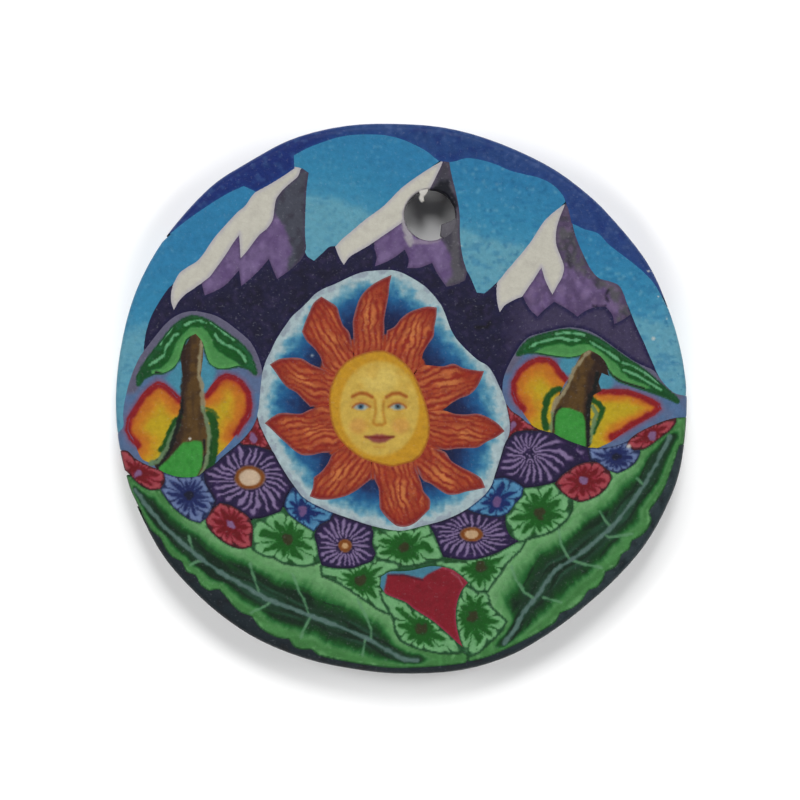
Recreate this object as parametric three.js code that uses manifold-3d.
// A round pendant sliced from a millefiori cane of coloured clay: mountains under a blue sky, a sun
// in a medallion, two trees at sunset, flowers, two leaves and a heart. Every colour field is a
// cane of its own that runs right through the slice, so every cane is a separate closed prism.
// Millimetres. The pendant lies flat, picture up: +Z leaves the picture, +Y is the picture's top.

import * as THREE from 'three';
import { mergeVertices } from 'three/addons/utils/BufferGeometryUtils.js';
import Module from 'manifold-3d';

const wasm = await Module();
wasm.setup();

// Driving dimensions.
const THICKNESS = 4.0;
const RIM_ROUNDING = 0.5;
const RIM_STEPS = 2;
const HOLE_CENTRE = [2.3, 14.7];
const HOLE_RADIUS = 2.05;
const HOLE_SIDES = 32;
const SEAM = 0.1;
const CHORD = 0.85;
const LONG_CHORD = 1.25;
const OVERSHOOT = 1;

// A point marked C is a sharp corner; the outline runs smoothly through all the others.
const C = true;

// The slice's own outline, clockwise from the top.
const SLICE = [
  [0, 22], [4, 21.6], [8, 20.4], [12, 18.5], [15, 16.3], [17, 14.3], [19, 11.9], [20.2, 10],
  [21.2, 7.7], [22.1, 5], [22.7, 2], [22.85, -1.2], [22.35, -5.5], [21.3, -8.5], [19.7, -11.4],
  [17.7, -13.85], [15.2, -16.2], [12.1, -18.6], [8.6, -20.6], [4.6, -21.75], [0, -22], [-3.7, -21.65],
  [-7.5, -20.85], [-11.2, -19.4], [-14.2, -17.5], [-16.9, -15.1], [-19.1, -12.5], [-20.7, -9.6],
  [-21.8, -6.9], [-22.6, -3.6], [-22.85, 0], [-22.5, 3.8], [-21.6, 7.6], [-20.2, 10.8], [-18.2, 13.8],
  [-15.2, 17], [-12.3, 18.9], [-8.7, 20.8], [-4.4, 21.85],
];

// Canes from the back of the picture to its front: each one is cut away by all that follow it.
// Outlines that meet the rim run past it, because the slice trims them.
const CANES = [
  ['mountain_base', 0x2e2c41, [
    [-21.4, 2.4], [-20.6, 5], [-19.4, 8.6], [-18, 10.6], [-14, 13], [-9, 14.4], [-4, 14], [2, 13],
    [6, 12], [10, 12], [13, 11.5], [16.3, 9.5], [18.4, 8.5], [18.9, 6.8], [19.9, 4.8], [20.8, 2.8],
    [21.6, 1.5], [20, 0.4], [14, 3], [9.5, 2], [8, 0.4, C], [6, 1], [4, 4], [0, 8.6], [-6, 7.4],
    [-9.6, 3], [-11.1, 1.4, C], [-13, 3], [-16, 5], [-19, 4.2],
  ]],
  ['sky_left', 0x4a84a8, [
    [-11, 17.2], [-11.8, 15.4], [-13.4, 13.4], [-15.4, 10.4], [-17.2, 9.6], [-18.1, 9.4], [-19.7, 7.1],
    [-20.4, 5.2], [-20.6, 3.6], [-20.9, 1.4], [-21.3, -0.8], [-21.4, -4.6, C], [-25, -5, C], [-24.5, 6],
    [-20.5, 15], [-14, 20, C],
  ]],
  ['sky_middle', 0x4486a6, [
    [-8, 17, C], [-9.9, 18.6], [-7, 20.8], [-3, 21.8], [1, 21.2], [3.8, 19.4, C], [4, 18], [1, 15.5],
    [-3.5, 12], [-5.3, 12.3], [-6.4, 11.5], [-7.2, 10.9], [-7.7, 11.7], [-8.6, 14],
  ]],
  ['sky_right', 0x4688a8, [
    [3.4, 19.4, C], [8, 19.8], [12, 18], [14, 16.2, C], [12.8, 14.2], [10.4, 11], [7.9, 9.5, C],
    [7.5, 9.1], [6.7, 8.4], [6.2, 8.2], [5.9, 8.7], [5.3, 10.1], [4.3, 11.5], [3.2, 14],
  ]],
  ['sky_far_right', 0x4e8aac, [
    [13.6, 16.4, C], [13.4, 14], [14.1, 11.8], [15.3, 9.6], [16.8, 8.8], [17.8, 8.2], [18.2, 7.2],
    [18.7, 5.9], [19.4, 4.4], [20, 3], [20.5, 1.9], [21.5, 0.5], [22.3, -0.2], [24.5, -0.4, C],
    [24.5, 6], [21.5, 11], [17, 16.5, C],
  ]],
  ['rock_left', 0x66597c, [
    [-13.2, 13.8], [-14.6, 12.2], [-15.7, 10.6], [-16.1, 9.8], [-15.75, 8.2, C], [-14.4, 8.8],
    [-13.5, 9.6], [-13, 10.2, C], [-12.85, 8.9, C], [-12, 9.6], [-11.1, 10.5], [-10.6, 11.1, C],
    [-10.3, 10.3], [-9.95, 9.5, C], [-9.4, 9.9], [-8.9, 10.2], [-8.2, 10.9], [-7.6, 11.7], [-7.65, 13.5],
    [-7.55, 16.5], [-7.35, 18.1, C], [-8.1, 18.4], [-11, 15],
  ]],
  ['rock_middle', 0x64587a, [
    [-1.9, 13.6], [-2.2, 12.2], [-2, 11.5], [-2.2, 10.5, C], [-1.2, 10.9], [-0.3, 11.4],
    [0.25, 11.85, C], [0.55, 11.1], [0.4, 10.4, C], [1.3, 10.4], [2.45, 10.8, C], [2.9, 9.9],
    [3.6, 8.9, C], [4.4, 9.1], [5.05, 9.35], [5.35, 9.9], [4.95, 11.4], [4.75, 13], [4.72, 14.8],
    [4.45, 16.4], [4.1, 17.8], [3.8, 19.4, C], [2.4, 18.6], [0.5, 16],
  ]],
  ['rock_right', 0x675c80, [
    [11, 12.4], [10.6, 10.8], [9.5, 9.3], [9.7, 8.2], [10.2, 7.2], [10.9, 6.5, C], [11.5, 7.1],
    [12.25, 7.7, C], [13.3, 7.1], [14.1, 6.5, C], [14.8, 7], [15.7, 7.3], [16.6, 7.2], [16.9, 6.4],
    [17, 5.9, C], [17.8, 6.3], [18.4, 6.6], [18.2, 7.3], [17.8, 8.5], [17.2, 9.3], [16, 9.6],
    [15.2, 10.4], [14.6, 11.6], [14, 13], [13.7, 14.2], [13.2, 15.9, C], [12.4, 15],
  ]],
  ['snow_left', 0xbdbaae, [
    [-7.9, 18.4], [-8.6, 18.7], [-10.2, 17.8], [-11.7, 16.6], [-12.5, 15.5], [-13.1, 15], [-14, 14],
    [-15, 12.9], [-16.2, 11.2], [-17.4, 10.4], [-18.05, 9.7], [-18.5, 8.2], [-18.2, 6.95, C], [-17.6, 8],
    [-16.8, 8.6], [-15.2, 9.8], [-15, 10.1], [-14, 11.5], [-13.3, 12.6], [-13, 13, C], [-12.9, 11.1, C],
    [-12.2, 11.9], [-11.3, 13.1], [-10.4, 13.9], [-10.15, 14.9], [-9.9, 16.1], [-9.2, 16.9],
    [-8.2, 17.8],
  ]],
  ['snow_middle', 0xbab9b0, [
    [3.5, 19.2, C], [1.8, 18.2], [0, 16.9], [-1.4, 15.5], [-3, 14.3], [-4.4, 13.1], [-5.3, 12.3],
    [-5.15, 11.6], [-4.6, 10.6, C], [-4.1, 11.3], [-2.6, 12.2], [-1, 13.3], [0.4, 14.3], [1.6, 15.6],
    [2.4, 16.9], [2.95, 18],
  ]],
  ['snow_right', 0xbcb9ac, [
    [13.2, 15.7, C], [12.2, 15], [11.3, 14.1], [10.4, 12.7], [9.3, 11.3], [8.3, 10.1], [7.65, 9.3],
    [7.6, 8], [7.85, 6.8, C], [8.4, 7.5], [9.75, 8.2, C], [10.4, 9.2], [11.2, 10.4, C], [11.5, 9.4],
    [12.1, 8.2, C], [12.6, 9.2], [13.1, 10.2], [12.9, 11.1], [12.45, 12.4], [12.5, 13.7], [12.9, 14.9],
  ]],
  ['upper_wrap', 0x2a447f, [
    [-19.4, 12.3, C], [-18.2, 13.4], [-16.2, 14.9], [-14, 16.3], [-12.4, 17], [-11.6, 16.5, C],
    [-10, 17.4], [-8.5, 18.4, C], [-8.8, 18.9], [-8.7, 19.3], [-8, 19.75], [-7, 20.2], [-4.9, 20.9],
    [-2.8, 21.1], [-0.6, 20.9], [1.6, 20], [3, 19, C], [3.8, 18.8], [5, 19.2], [7, 18.9], [9, 18.1],
    [10.8, 17.7], [12.2, 17], [13.15, 15.85], [13.3, 15.2, C], [13.8, 13.7], [15.4, 13.4], [16.8, 12.1],
    [18.4, 10.9], [20.1, 9.3], [21.4, 7, C], [24, 8, C], [20, 17], [10, 24], [-2, 26], [-14, 22.5],
    [-22, 13.8, C],
  ]],
  ['lower_wrap', 0x363f48, [
    [-21.3, -6.6, C], [-20, -9.3], [-17, -13], [-13, -16.4], [-8, -19.4], [-2, -21], [5, -20.9],
    [10, -18.9], [15, -15], [18.6, -11], [21, -6.5], [21.9, -4], [22, -2.2, C], [24.5, -3, C], [22, -14],
    [12, -23.5], [0, -26], [-14, -22], [-22, -13], [-24, -7, C],
  ]],
  ['leaf_left', 0x3c7a42, [
    [-22.6, -6, C], [-21.4, -6.2], [-20.2, -6.8], [-19, -7], [-18, -7.6], [-16, -8.8], [-14.4, -9.4],
    [-12, -11], [-9, -12.2], [-6.4, -12.9], [-3, -14.4], [-1, -16], [0, -18.2], [2.4, -19.6], [4.8, -20],
    [5.5, -20.6, C], [5.3, -21.15], [2.4, -21.5], [-0.6, -21.6], [-3.2, -21.3], [-5.2, -20.9],
    [-6.9, -20.5], [-7.2, -20.1, C], [-8.2, -20.1], [-8.7, -19.8], [-9, -19.3, C], [-10.1, -19.1],
    [-11.3, -18.4], [-12, -17.5, C], [-13.1, -17], [-13.9, -16.1], [-14.6, -15.3, C], [-15.6, -15.4],
    [-16.2, -14.8], [-16.5, -14.2, C], [-17.2, -13.9], [-17.6, -13.1, C], [-18.5, -12.6], [-19, -11.9],
    [-19.3, -11.2, C], [-20.1, -10.5], [-20.9, -9.1], [-21.7, -7.5, C], [-23, -7.4, C],
  ]],
  ['leaf_right', 0x468048, [
    [23.6, -1.2, C], [22, -1.4], [20.8, -2.5], [19.4, -3.4], [18, -4.4], [16.6, -5], [14.6, -6.8],
    [12.4, -8.6], [10.2, -10.2], [8.6, -12], [7.2, -13.4], [6, -15.2], [6.6, -17], [7.2, -18.8],
    [6, -19.6], [5.2, -20.3, C], [5.3, -21.1, C], [6.8, -20.75], [8.5, -20.05], [10, -19.3],
    [11.4, -18.55], [12.4, -17.9], [12.8, -17.2, C], [13.6, -16.9], [14.7, -16], [15, -15.4, C],
    [15.9, -15], [16.4, -13.9, C], [17.3, -13.4], [17.7, -12.5, C], [18.3, -12.1], [18.5, -11.4, C],
    [19.5, -10.8], [20.1, -9.7], [19.9, -9, C], [20.4, -8.3], [21, -7.4], [21.7, -5.6], [22.3, -3.8, C],
    [24, -3.2, C],
  ]],
  ['flower_green_by_heart', 0x64a468, [
    [-6.4, -14.25, C], [-6.2, -12.8], [-3, -12.2], [0, -12.2], [3.4, -12.5, C], [3.2, -13.8], [0, -14.4],
    [-0.6, -16], [-0.4, -17.4, C], [-1.6, -17.1], [-2.6, -16.4], [-3.6, -15.75], [-4.7, -15],
    [-5.7, -14.5],
  ]],
  ['flower_green_under_heart', 0x64a468, [
    [-1.75, -15.4, C], [-0.2, -15.2], [3, -17], [5.4, -19.8, C], [4.7, -20.4], [3.4, -20.45], [2.2, -20.25],
    [1, -19.95], [0, -19.45], [-0.5, -18.95], [-0.6, -18], [-0.95, -17.1], [-1.5, -16.3],
  ]],
  ['flower_green_low_right', 0x64a468, [
    [4.4, -14.8, C], [5.4, -14.2], [6.3, -14.9], [6.95, -15.6], [7.1, -16.3], [7.5, -17], [8.25, -17.4],
    [8.5, -18], [8, -18.7], [7.4, -19.3], [6.7, -19.95], [6, -20.5], [5.3, -20.7], [4.8, -20.2, C],
    [3.6, -18], [4, -16],
  ]],
  ['flower_green_right_of_heart', 0x64a468, [
    [2.6, -12.4, C], [5, -12.1], [7.6, -11.4], [9, -10.6], [10.2, -10.6, C], [9.9, -11.8], [9.1, -12.6],
    [8.5, -13.2], [7.95, -14.1], [7.4, -14.8], [6.95, -15.5, C], [6.1, -15.5], [4.6, -14.6], [4, -14.2],
    [2.8, -13.9],
  ]],
  ['heart', 0x7c2836, [
    [-1.7, -14.3], [-1.2, -13.85], [0, -13.75], [1.1, -13.65], [2.2, -13.35], [3.5, -13.45], [4.4, -13.8],
    [5.4, -14.7, C], [4.9, -15.3], [4.55, -16.2], [4.4, -17.4], [4.6, -18.8], [5, -20, C], [4.2, -19.3],
    [3.2, -18.4], [2.2, -17.6], [1.2, -17], [0.3, -16.3], [-0.7, -15.9], [-1.5, -15.5], [-1.75, -14.9],
  ]],
  ['flower_green_centre', 0x68a86c, [
    [-2.6, -10.2, C], [0, -9.8], [2.2, -9.8, C], [2.9, -10.5], [3.2, -11.4], [3.4, -11.9], [3.5, -12.5],
    [3.3, -13], [2.2, -13.1], [1.2, -13.4], [0.3, -13.5], [-0.6, -13.1], [-1.7, -12.95], [-2.4, -12.4],
    [-2.6, -11.4],
  ]],
  ['flower_green_left', 0x66a66a, [
    [-12.2, -9.9], [-11.6, -9.3], [-10.2, -8.8], [-9, -8.6], [-7.6, -9.2], [-6.6, -10], [-6.4, -11.6],
    [-6.3, -13.1], [-7.2, -13.35], [-8, -13.45], [-9.3, -13.25], [-10, -12.95], [-10.5, -12.6],
    [-11.1, -12.6], [-12, -12], [-12.4, -11.2], [-12.4, -10.5],
  ]],
  ['flower_green_right', 0x66a66a, [
    [7.9, -9.6], [8.4, -8.4], [9.3, -7.4], [10.3, -6.8], [11, -6.6], [12.2, -6.3], [13.2, -6.8],
    [13.8, -8.2], [13.85, -8.7], [13.4, -9.6], [12.7, -10.3], [11.8, -10.85], [10.8, -11.1],
    [9.3, -11.55], [8.2, -11.4], [7.9, -10.4],
  ]],
  ['flower_purple_low_left', 0x584c72, [
    [-7, -10.9], [-6.6, -10], [-6, -9.2], [-4.9, -8.8], [-3, -9.6], [-2.2, -10.2], [-2.2, -11],
    [-2.25, -11.8], [-1.9, -12.75], [-2.9, -13.2], [-3.5, -13.55], [-4.9, -13.6], [-6.35, -13.4],
    [-6.65, -12.6], [-6.8, -11.7],
  ]],
  ['flower_purple_low_right', 0x584c72, [
    [2.1, -10, C], [3.2, -9.4], [5.4, -8.4], [6.6, -8.8], [8.4, -9.2, C], [8.45, -10.3], [8.85, -11],
    [9.5, -11.4, C], [8.5, -11.95], [7.6, -12.4], [6.8, -12.7], [5.5, -12.95], [4.3, -12.85], [3.3, -12.7, C],
    [3, -12], [2.85, -11.4], [2.5, -10.7],
  ]],
  ['flower_purple_left', 0x564a70, [
    [-16.6, -5.6, C], [-15.3, -5], [-14.6, -4.4], [-13.9, -3.9], [-12.6, -3.4], [-10.6, -3.4],
    [-9.6, -4.4], [-9, -5.6], [-8.2, -6.8], [-9.1, -7.6], [-9.4, -8.8], [-9.9, -9.2], [-10.6, -9.4],
    [-11.6, -9.7], [-12.2, -9.6], [-13, -9.2], [-14.4, -9], [-15.4, -8.5], [-15.6, -7.2], [-16.2, -6.4],
  ]],
  ['flower_purple_right', 0x564a70, [
    [8.2, -2.8, C], [9.4, -2.3], [11.2, -2.1], [12.4, -2.5], [13.4, -3.1], [14.6, -3.6], [15.6, -4, C],
    [15.7, -5.1], [14.5, -5.5], [13.4, -6.2], [12.3, -6.7], [11.6, -6.95], [10.8, -7.05], [9.8, -7.2],
    [8.6, -6.9], [7.4, -6.4], [7.3, -5.4],
  ]],
  ['flower_red_left', 0x9a4248, [
    [-15.2, -8.8], [-14.4, -8.25], [-13.7, -8.45], [-12.8, -8.95], [-12.1, -9.5], [-11.85, -10.1],
    [-11.85, -11.3], [-11.95, -11.9], [-12.6, -12.05], [-13.2, -12], [-14.1, -11.6], [-15, -10.9],
    [-15.6, -10.2], [-15.8, -9.6],
  ]],
  ['flower_red_right', 0x9c484e, [
    [12.2, -6.8], [12.7, -6.2], [13.5, -5.6], [14.3, -5.15], [15.1, -5], [16, -5.1], [16.9, -5.9],
    [16.7, -6.8], [16.1, -7.55], [15.1, -8.1], [14.2, -8.3], [13.3, -7.9], [12.6, -7.3],
  ]],
  ['flower_red_by_halo_left', 0x8e444e, [
    [-13.3, -3.2, C], [-12.6, -2.4], [-11.6, -1.2], [-10.6, -1.4], [-9.8, -3], [-10.2, -4.3, C],
    [-11, -4], [-12, -3.75], [-12.9, -3.7],
  ]],
  ['flower_red_by_halo_right', 0x7e4450, [
    [7.8, 0, C], [8.6, 0], [9.6, -0.8], [10.6, -2], [11.2, -2.6, C], [10, -2.65], [9.2, -2.7],
    [8.5, -3.3, C], [7.8, -2.6],
  ]],
  ['flower_lavender_left', 0x5c6a90, [
    [-19.9, -5.9, C], [-18.4, -5.8], [-16, -5.8], [-15.7, -6.4], [-15.55, -7.1], [-15.1, -7.6],
    [-14.8, -8.3], [-15.1, -8.8], [-15.45, -9.3], [-15.6, -9.8], [-16, -10], [-16.8, -9.8],
    [-17.6, -9.3], [-18.4, -8.6], [-19, -7.8], [-19.4, -7.1],
  ]],
  ['flower_lavender_right', 0x5a668a, [
    [14.9, -3.8, C], [16.6, -3.2], [18.2, -2.7], [19.1, -3.2], [19.15, -4.3], [18.9, -5], [18.1, -5.65],
    [17.2, -6], [16.6, -5.8], [16, -5.3], [15.1, -4.9, C],
  ]],
  ['flower_red_far_left', 0x8e3a42, [
    [-23.4, -4, C], [-21.8, -4], [-20.6, -4.8], [-19.2, -5.5], [-18.9, -6.2], [-18.95, -7], [-19.6, -7.4],
    [-20.4, -7.25], [-21.1, -6.8], [-21.7, -6.2], [-22.3, -5.6], [-23.5, -5.2, C],
  ]],
  ['flower_red_far_right', 0x80424c, [
    [18, -3.7], [18.3, -3], [19.2, -2.2], [20.4, -1.6], [22.1, -1.1, C], [21.9, -2.2], [20.7, -3.2],
    [19.7, -3.95], [18.9, -4.2], [18.2, -4.05],
  ]],
  ['flower_blue_left', 0x3e6e94, [
    [-9.2, -7.8], [-8.8, -7.1], [-8.2, -6.9], [-7.4, -7.5], [-6.4, -8.2], [-5.4, -8.9], [-5.5, -9.6],
    [-6.1, -9.9], [-6.6, -10.2], [-6.9, -10.65], [-7.4, -10.6], [-7.8, -10.1], [-8.4, -9.8], [-8.9, -9.4],
    [-9.35, -8.9], [-9.45, -8.4],
  ]],
  ['flower_blue_right', 0x4a7aa0, [
    [6.9, -7], [7.3, -6.4], [8.1, -6.25], [8.9, -6.45], [9.5, -6.8], [9.95, -7.2], [9.8, -7.7], [9.3, -8.2],
    [8.9, -8.8], [8.4, -9.35], [7.6, -9.5], [6.7, -9.35], [5.9, -9.15], [5.2, -8.8], [5.7, -8.1], [6.4, -7.5],
  ]],
  ['sun_sky', 0x8eb4c4, [
    [-0.5, 10.3], [-3, 10.2], [-4.4, 9.65], [-5.6, 9.1], [-6.7, 8.6], [-7.9, 7.4], [-8.7, 6.7],
    [-9.9, 5], [-10.4, 4], [-11, 2.7], [-11.3, 1.2], [-11.5, 0], [-11.6, -1], [-11.4, -2], [-10.9, -3.1],
    [-10.4, -4.1], [-9.3, -6], [-8.6, -7], [-7.8, -8], [-6.9, -8.5], [-5.9, -9], [-4.8, -9.4],
    [-3.2, -9.95], [-1.8, -10.35], [0, -10.6], [1.8, -10.2], [3.3, -9.8], [4.7, -9.2], [5.8, -8.5],
    [6.6, -7.8], [7.15, -7.2], [7.5, -6.2], [7.9, -5], [8.4, -3.4], [8.75, -2.6], [8.6, -1.2], [8.3, 0],
    [7.9, 1], [7.1, 2.5], [6.2, 3.1], [5, 4.2], [4.2, 5.2], [3.7, 6.4], [3.3, 7.4], [2.8, 8.1],
    [1.9, 9.05], [1, 9.6],
  ]],
  ['ray_top', 0x9e4c36, [
    [-3.9, 5.4, C], [-3.9, 6.4], [-3.6, 7.3], [-3.3, 8.2], [-2.5, 9.05], [-1.6, 9.6], [-0.7, 10, C],
    [-0.9, 9], [-1, 8], [-1.2, 7], [-1.35, 6], [-1.3, 5.5, C], [-1.5, 3, C], [-3.8, 3, C],
  ]],
  ['ray_upper_right', 0x9e4c36, [
    [-1.2, 5.5, C], [-0.8, 5.5], [-0.3, 6.2], [0.5, 6.9], [1.5, 7.3], [2.3, 7.45], [2.9, 7.35, C],
    [2.9, 6.8], [2.75, 6], [2.65, 5.4], [2.6, 4.9], [2.1, 4.2], [1.75, 3.5], [1.6, 2.85, C], [1, 1.9, C],
    [-1.4, 2.8, C],
  ]],
  ['ray_right', 0xa04e38, [
    [1.6, 2.8, C], [2.5, 2.7], [3.4, 2.65], [4.2, 2.85], [5, 2.5], [5.8, 2.35], [6.7, 2.25, C], [6.5, 1.7],
    [6.2, 1.1], [5.8, 0.5], [5.2, 0.15], [4.5, -0.1], [3.9, -0.5], [3.4, -0.85, C], [1.8, -1, C],
    [0.9, 1.8, C],
  ]],
  ['ray_lower_right', 0xa04e38, [
    [3.4, -0.9, C], [4.1, -1.1], [4.8, -1.25], [5.6, -1.15], [6.5, -1.2], [7.2, -1.6], [7.9, -2.05],
    [8.35, -2.6, C], [7.8, -3.05], [7.1, -3.3], [6.5, -3.8], [5.8, -4], [4.8, -4], [3.5, -4.15, C],
    [1.8, -3.6, C], [2, -1, C],
  ]],
  ['ray_low_right', 0x9e4c36, [
    [3.5, -4.2, C], [3.9, -4.8], [4.6, -5.3], [5.4, -5.7], [6.2, -6.15], [6.7, -6.7], [6.8, -7.15, C],
    [6.3, -7.3], [5.5, -7.4], [4.7, -7.65], [3.9, -7.75], [3.2, -7.45], [2.6, -7], [1.65, -6.5, C],
    [0.9, -4.8, C], [1.8, -3.7, C],
  ]],
  ['ray_bottom', 0x984632, [
    [1.6, -6.55, C], [1.8, -7.3], [2.25, -7.9], [2.5, -8.5], [2.1, -9.1], [1.3, -9.8], [0.8, -10.2],
    [-0.1, -10.3], [-0.8, -9.95], [-1.2, -9.4], [-1.7, -8.9], [-1.8, -8.1], [-1.8, -7.4], [-2.2, -6.4, C],
    [-2.3, -4.6, C], [0.9, -4.8, C],
  ]],
  ['ray_low_left', 0x9e4c36, [
    [-2.3, -6.4, C], [-3, -6.95], [-3.9, -7.6], [-4.7, -7.9], [-5.6, -8.1], [-6.6, -8.1], [-7.4, -7.85, C],
    [-7.15, -7.2], [-7.1, -6.5], [-6.9, -6], [-6.3, -5.7], [-5.9, -5.1], [-5.55, -4.4, C], [-4.4, -3.6, C],
    [-2.4, -4.6, C],
  ]],
  ['ray_lower_left', 0xa04e38, [
    [-5.6, -4.3, C], [-6.5, -4.4], [-7.5, -4.6], [-8.3, -4.4], [-9, -3.8], [-9.8, -3.1], [-10.4, -2.5],
    [-11, -1.95, C], [-10.4, -1.45], [-9.7, -1.1], [-9, -1.1], [-8.1, -1.15], [-7.3, -0.8, C],
    [-5.4, -0.4, C], [-4.6, -3.5, C],
  ]],
  ['ray_left', 0xa04e38, [
    [-7.3, -0.7, C], [-8, 0], [-8.6, 0.6], [-9.2, 0.9], [-9.7, 1.5], [-10.1, 2.1], [-10.6, 2.75, C],
    [-10, 3.15], [-9.2, 3.3], [-8.3, 3.35], [-7.6, 3.1], [-7, 2.7], [-6.3, 2.45, C], [-5, 1.8, C],
    [-5.4, -0.4, C],
  ]],
  ['ray_upper_left', 0x9e4c36, [
    [-6.3, 2.5, C], [-6.6, 3.5], [-7.2, 4.2], [-7.85, 4.9], [-8, 5.6], [-7.6, 6.4], [-7.3, 7.2],
    [-6.9, 7.9], [-6.4, 8.25, C], [-6.05, 8], [-5.5, 7.7], [-5.1, 7.35], [-4.9, 6.7], [-4.6, 5.9],
    [-4.1, 5.3, C], [-3.7, 3, C], [-5, 1.8, C],
  ]],
  ['sun_face', 0xc49a44, [
    [-5.85, 0], [-5.7, 1], [-5.1, 2.3], [-4.4, 3.05], [-3.5, 3.55], [-2.6, 3.8], [-1.7, 3.95], [-0.9, 3.75],
    [0, 3.2], [0.8, 2.4], [1.4, 1.3], [1.9, 0], [2.2, -1], [2.35, -2.1], [2.25, -3.2], [1.8, -4.3],
    [1.2, -4.95], [0.3, -5.25], [-0.9, -5.5], [-1.9, -5.2], [-2.9, -4.95], [-3.8, -4.4], [-4.6, -3.7],
    [-5.3, -2.8], [-5.7, -1.6],
  ]],
  ['tree_left_sky', 0x7c84a0, [
    [-16.5, 7.05], [-15, 6.75], [-13.9, 6.15], [-12.9, 5.35], [-12.05, 4.6], [-11.45, 3.5], [-11.1, 2.3],
    [-11.2, 1], [-11.4, -1], [-11.7, -2], [-12.3, -2.9], [-13.2, -3.8], [-14.2, -4.6], [-15.2, -5.5],
    [-16.2, -5.9], [-17.6, -6], [-19.1, -5.8], [-20.2, -5.4], [-21.2, -4.9], [-22, -4.2],
    [-23.6, -4.2, C], [-23.6, -2.8, C], [-22.4, -2.6], [-22.3, -1], [-22.05, 0.4], [-21.65, 1.8],
    [-21, 3.3], [-20.3, 4.25], [-19.3, 5.55], [-18.4, 6.45], [-17.4, 6.95],
  ]],
  ['tree_left_sunset_outer', 0xb06a2c, [
    [-19.4, 1.2], [-20.3, 0.9], [-21, 0], [-21.6, -1.2], [-21.9, -2.4], [-21.3, -3.6], [-20.9, -4.7],
    [-20.2, -5.2], [-19.4, -4.8, C], [-17.4, -2.4, C], [-17.2, 0.4, C], [-17.9, 0.1], [-18.6, 0.8],
  ]],
  ['tree_left_sunset_inner', 0xb4702e, [
    [-14, 1.9], [-13, 1.6], [-12.3, 0.8], [-12, -0.2], [-12.2, -1.3], [-12.7, -2.2], [-13.4, -3.2],
    [-14.3, -4.2], [-15.6, -5.4, C], [-16.4, -2, C], [-16.4, 0.2, C], [-15.6, 0.5], [-15, 1.4],
  ]],
  ['tree_left_trunk', 0x5e4a32, [
    [-16.6, 5.4, C], [-16, 5, C], [-15.8, 3.6], [-16, 1.6], [-15.8, 0], [-15.5, -1.6], [-15.1, -3],
    [-15.1, -4.4], [-15.4, -5.4], [-16.2, -6.2, C], [-17.4, -6.35], [-18.6, -6.1], [-19.6, -5.6, C],
    [-19.9, -5.2, C], [-19.2, -4.4], [-18.8, -3.2], [-18.1, -1.8], [-17.7, -0.8], [-17.5, 1.8],
    [-17.7, 3], [-17.3, 4.3],
  ]],
  ['tree_left_canopy', 0x2e6a3c, [
    [-16.5, 6.65], [-15.3, 6.2], [-14.3, 5.5], [-13.3, 4.8], [-12.45, 4.05], [-11.85, 3.05],
    [-11.55, 1.8, C], [-12, 2.3], [-13, 2.6], [-14, 2.4], [-15, 2.5], [-15.5, 3.1], [-15.75, 4],
    [-16.2, 5], [-16.8, 5.1], [-17.3, 4.5], [-17.7, 3.2], [-18.1, 2.6], [-18.7, 2.1], [-19.5, 2],
    [-20.4, 1.8], [-21.1, 0.9, C], [-21.15, 1.7], [-20.6, 2.8], [-19.95, 3.65], [-19.05, 4.8],
    [-18.3, 5.75], [-17.4, 6.4],
  ]],
  ['tree_right_sky', 0x8088a4, [
    [8.05, 0.6], [8.15, 1.7], [8.6, 2.8], [9.1, 3.7], [9.9, 4.8], [10.8, 5.2], [12, 5.5], [13.2, 5.75],
    [14.4, 5.65], [15.6, 5.2], [17, 4.2], [18, 3.5], [19, 2.85], [20.2, 2.3], [21, 1.3], [22, 0.45],
    [23.6, 0.2, C], [23.6, -1.5, C], [21.8, -1.6], [20.2, -2.15], [18.9, -2.8], [17.9, -3.55],
    [16.4, -3.95], [15.2, -3.95], [14, -3.4], [12.6, -2.8], [11.4, -2.45], [10.4, -2.2], [9.6, -1.55],
    [8.7, -0.9], [8.3, -0.3],
  ]],
  ['tree_right_sunset_inner', 0xb07030, [
    [9.3, -0.4], [8.95, 0.5], [8.95, 1.3], [9.2, 2], [9.8, 2.8], [10.6, 3.15], [11.4, 3.2], [12.1, 3],
    [12.7, 2.4], [13.3, 1.5, C], [12.9, 0.8, C], [12.3, -0.6], [12.1, -1.6], [12.1, -2.8, C], [11.2, -2.55],
    [10.6, -2.3], [10, -1.6],
  ]],
  ['tree_right_sunset_outer', 0xb26e32, [
    [15, 0.4, C], [16.1, 0.7], [17, 0.8], [18.3, 0.7], [19.3, 0.35], [20.3, -0.1], [20.75, -0.55],
    [20.6, -1], [19.7, -1.5], [18.6, -2.2], [17.5, -3], [16.6, -3.6], [15.8, -3.95], [14.9, -3.95, C],
    [14.8, -2], [14.8, -0.6],
  ]],
  ['tree_right_trunk', 0x6a553a, [
    [14.9, 4.4], [15.6, 4.2], [16.2, 3.4], [16.5, 2.3], [16.75, 1.7, C], [16.2, 2.05], [15.75, 1.6],
    [15.95, 1.1], [16.1, 0.6, C], [15.5, 0.4], [15.25, -0.2], [15.15, -1.4], [15.1, -2.8],
    [15, -3.95, C], [13.9, -3.6], [12.8, -3.15], [12, -2.7, C], [12, -1.4], [12.1, -0.5], [12.6, 0.3],
    [13.1, 1], [13.6, 2.1], [14.2, 3.2],
  ]],
  ['tree_right_canopy', 0x3a7644, [
    [9.15, 3.4, C], [9.5, 4], [10, 4.6], [11, 5.05], [12, 5.3], [13.2, 5.55], [14.4, 5.35], [15.6, 4.9],
    [16.8, 4.15], [17.8, 3.4], [18.9, 2.7], [20, 1.85], [21, 0.95], [22, 0.15], [22.3, -0.4, C],
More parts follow.
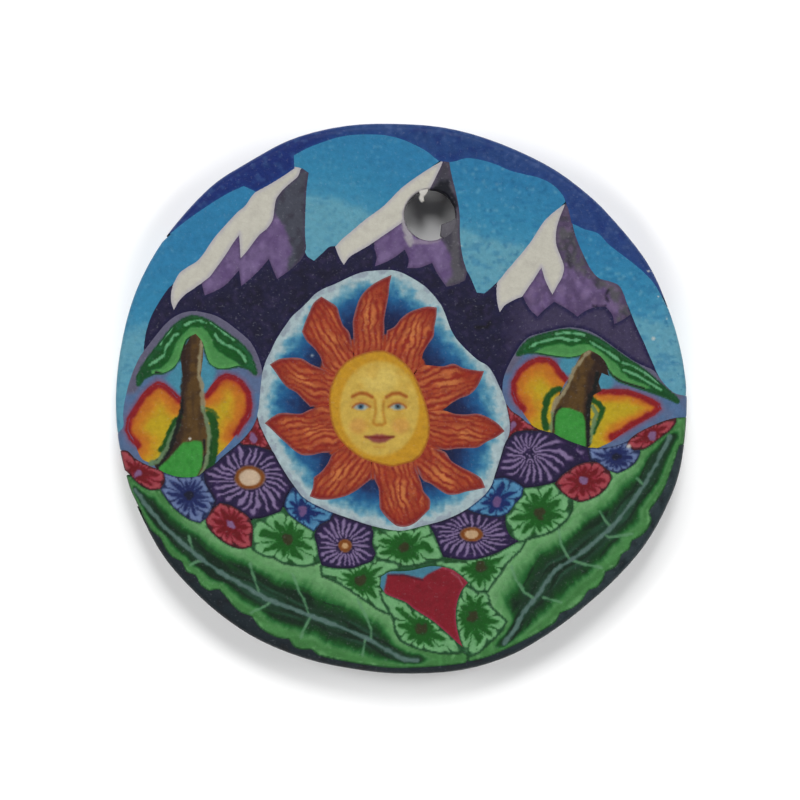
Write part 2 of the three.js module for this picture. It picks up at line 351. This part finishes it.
    [21.4, 0], [20.4, 0.4], [19.3, 0.75], [18.3, 1.1], [17.4, 1.4], [16.8, 1.9], [16.5, 2.5], [16.2, 3.1],
    [15.5, 3.65], [14.9, 3.85], [14.2, 3.4], [13.3, 3.3], [12.4, 3.4], [11.4, 3.55], [10.3, 3.7],
  ]],
];

// Points along one smooth run, with its two ends kept.
function sampleRun(points, chord) {
  const curve = new THREE.SplineCurve(points.map(([x, y]) => new THREE.Vector2(x, y)));
  const steps = Math.max(1, Math.round(curve.getLength() / chord));
  return curve.getSpacedPoints(steps);
}

// The closed outline: smooth runs between its corners, or one closed curve if it has none.
function sampleOutline(points, chord) {
  const first = points.findIndex((point) => point[2]);
  if (first < 0) {
    const knots = points.map(([x, y]) => new THREE.Vector3(x, y, 0));
    const curve = new THREE.CatmullRomCurve3(knots, true, 'catmullrom', 0.5);
    const steps = Math.round(curve.getLength() / chord);
    return curve.getSpacedPoints(steps).slice(0, -1).map(({ x, y }) => new THREE.Vector2(x, y));
  }
  const turned = [...points.slice(first), ...points.slice(0, first + 1)];
  const outline = [];
  let run = [turned[0]];
  for (const point of turned.slice(1)) {
    run.push(point);
    if (point[2]) {
      outline.push(...sampleRun(run, chord).slice(0, -1));
      run = [point];
    }
  }
  return outline;
}

// The same outline drawn in by a distance, each point along the line that halves its corner.
function drawnIn(outline, distance) {
  const turn = Math.sign(THREE.ShapeUtils.area(outline));
  return outline.map((point, i) => {
    const before = outline.at(i - 1);
    const after = outline[(i + 1) % outline.length];
    const incoming = point.clone().sub(before).normalize();
    const outgoing = after.clone().sub(point).normalize();
    const along = incoming.clone().add(outgoing).normalize();
    const inward = new THREE.Vector2(-along.y, along.x).multiplyScalar(turn);
    const reach = distance / Math.max(0.35, Math.abs(along.dot(incoming)));
    return point.clone().addScaledVector(inward, reach);
  });
}

function prism(outline, bottom, top) {
  const shape = new THREE.Shape(outline);
  const geometry = new THREE.ExtrudeGeometry(shape, { depth: top - bottom, bevelEnabled: false });
  return geometry.translate(0, 0, bottom);
}

// The uncut slice: a disc with a rounded rim on both faces.
function sliceBlank() {
  const outline = new THREE.Shape(sampleOutline(SLICE, LONG_CHORD));
  const geometry = new THREE.ExtrudeGeometry(outline, {
    depth: THICKNESS - 2 * RIM_ROUNDING,
    bevelEnabled: true,
    bevelThickness: RIM_ROUNDING,
    bevelSize: RIM_ROUNDING,
    bevelOffset: -RIM_ROUNDING,
    bevelSegments: RIM_STEPS,
  });
  return geometry.translate(0, 0, RIM_ROUNDING);
}

// The hanging hole, drilled straight through.
function holeDrill() {
  const geometry = new THREE.CylinderGeometry(
    HOLE_RADIUS, HOLE_RADIUS, THICKNESS + 2 * OVERSHOOT, HOLE_SIDES,
  );
  geometry.rotateX(Math.PI / 2);
  return geometry.translate(HOLE_CENTRE[0], HOLE_CENTRE[1], THICKNESS / 2);
}

function toSolid(geometry) {
  geometry.deleteAttribute('normal');
  geometry.deleteAttribute('uv');
  const merged = mergeVertices(geometry, 1e-4);
  return new wasm.Manifold(new wasm.Mesh({
    numProp: 3,
    vertProperties: new Float32Array(merged.attributes.position.array),
    triVerts: new Uint32Array(merged.index.array),
  }));
}

// Gives every vertex the name of its connected body, by passing the lowest name along the triangles.
function bodyNames(triangles, count) {
  const parent = Array.from({ length: count }, (_, i) => i);
  const root = (i) => {
    while (parent[i] !== i) {
      parent[i] = parent[parent[i]];
      i = parent[i];
    }
    return i;
  };
  for (let t = 0; t < triangles.length; t += 3) {
    const a = root(triangles[t]);
    parent[root(triangles[t + 1])] = a;
    parent[root(triangles[t + 2])] = root(a);
  }
  return parent.map((_, i) => root(i));
}

// Cutting can leave crumbs where neighbours almost meet: only the largest body is kept.
function largestBody(solid) {
  const { vertProperties: v, triVerts: triangles } = solid.getMesh();
  const names = bodyNames(triangles, v.length / 3);
  const volumes = new Map();
  const corner = (i) => new THREE.Vector3(v[3 * i], v[3 * i + 1], v[3 * i + 2]);
  for (let t = 0; t < triangles.length; t += 3) {
    const [a, b, c] = [0, 1, 2].map((k) => corner(triangles[t + k]));
    const name = names[triangles[t]];
    volumes.set(name, (volumes.get(name) ?? 0) + a.dot(b.cross(c)) / 6);
  }
  const [largest] = [...volumes].reduce((best, entry) => (entry[1] > best[1] ? entry : best));
  const kept = [];
  for (let t = 0; t < triangles.length; t += 3) {
    if (names[triangles[t]] === largest) {
      kept.push(triangles[t], triangles[t + 1], triangles[t + 2]);
    }
  }
  const geometry = new THREE.BufferGeometry();
  geometry.setAttribute('position', new THREE.BufferAttribute(new Float32Array(v), 3));
  geometry.setIndex(kept);
  return mergeVertices(geometry.toNonIndexed(), 1e-4);
}

const pendant = new THREE.Group();
const blank = toSolid(sliceBlank()).subtract(toSolid(holeDrill()));
const below = -OVERSHOOT;
const above = THICKNESS + OVERSHOOT;
const LONG_CANES = ['mountain_base', 'upper_wrap', 'lower_wrap', 'sky_left', 'sky_far_right'];

// From the front of the picture to its back: each cane takes what is left of the slice.
let left = blank;
for (const [name, colour, points] of [...CANES].reverse()) {
  const outline = sampleOutline(points, LONG_CANES.includes(name) ? LONG_CHORD : CHORD);
  const cane = toSolid(prism(drawnIn(outline, SEAM), below, above)).intersect(left);
  left = left.subtract(toSolid(prism(outline, below, above)));
  const material = new THREE.MeshStandardMaterial({ color: colour, roughness: 0.5, metalness: 0 });
  const mesh = new THREE.Mesh(largestBody(cane), material);
  mesh.name = name;
  pendant.add(mesh);
}

export default pendant;
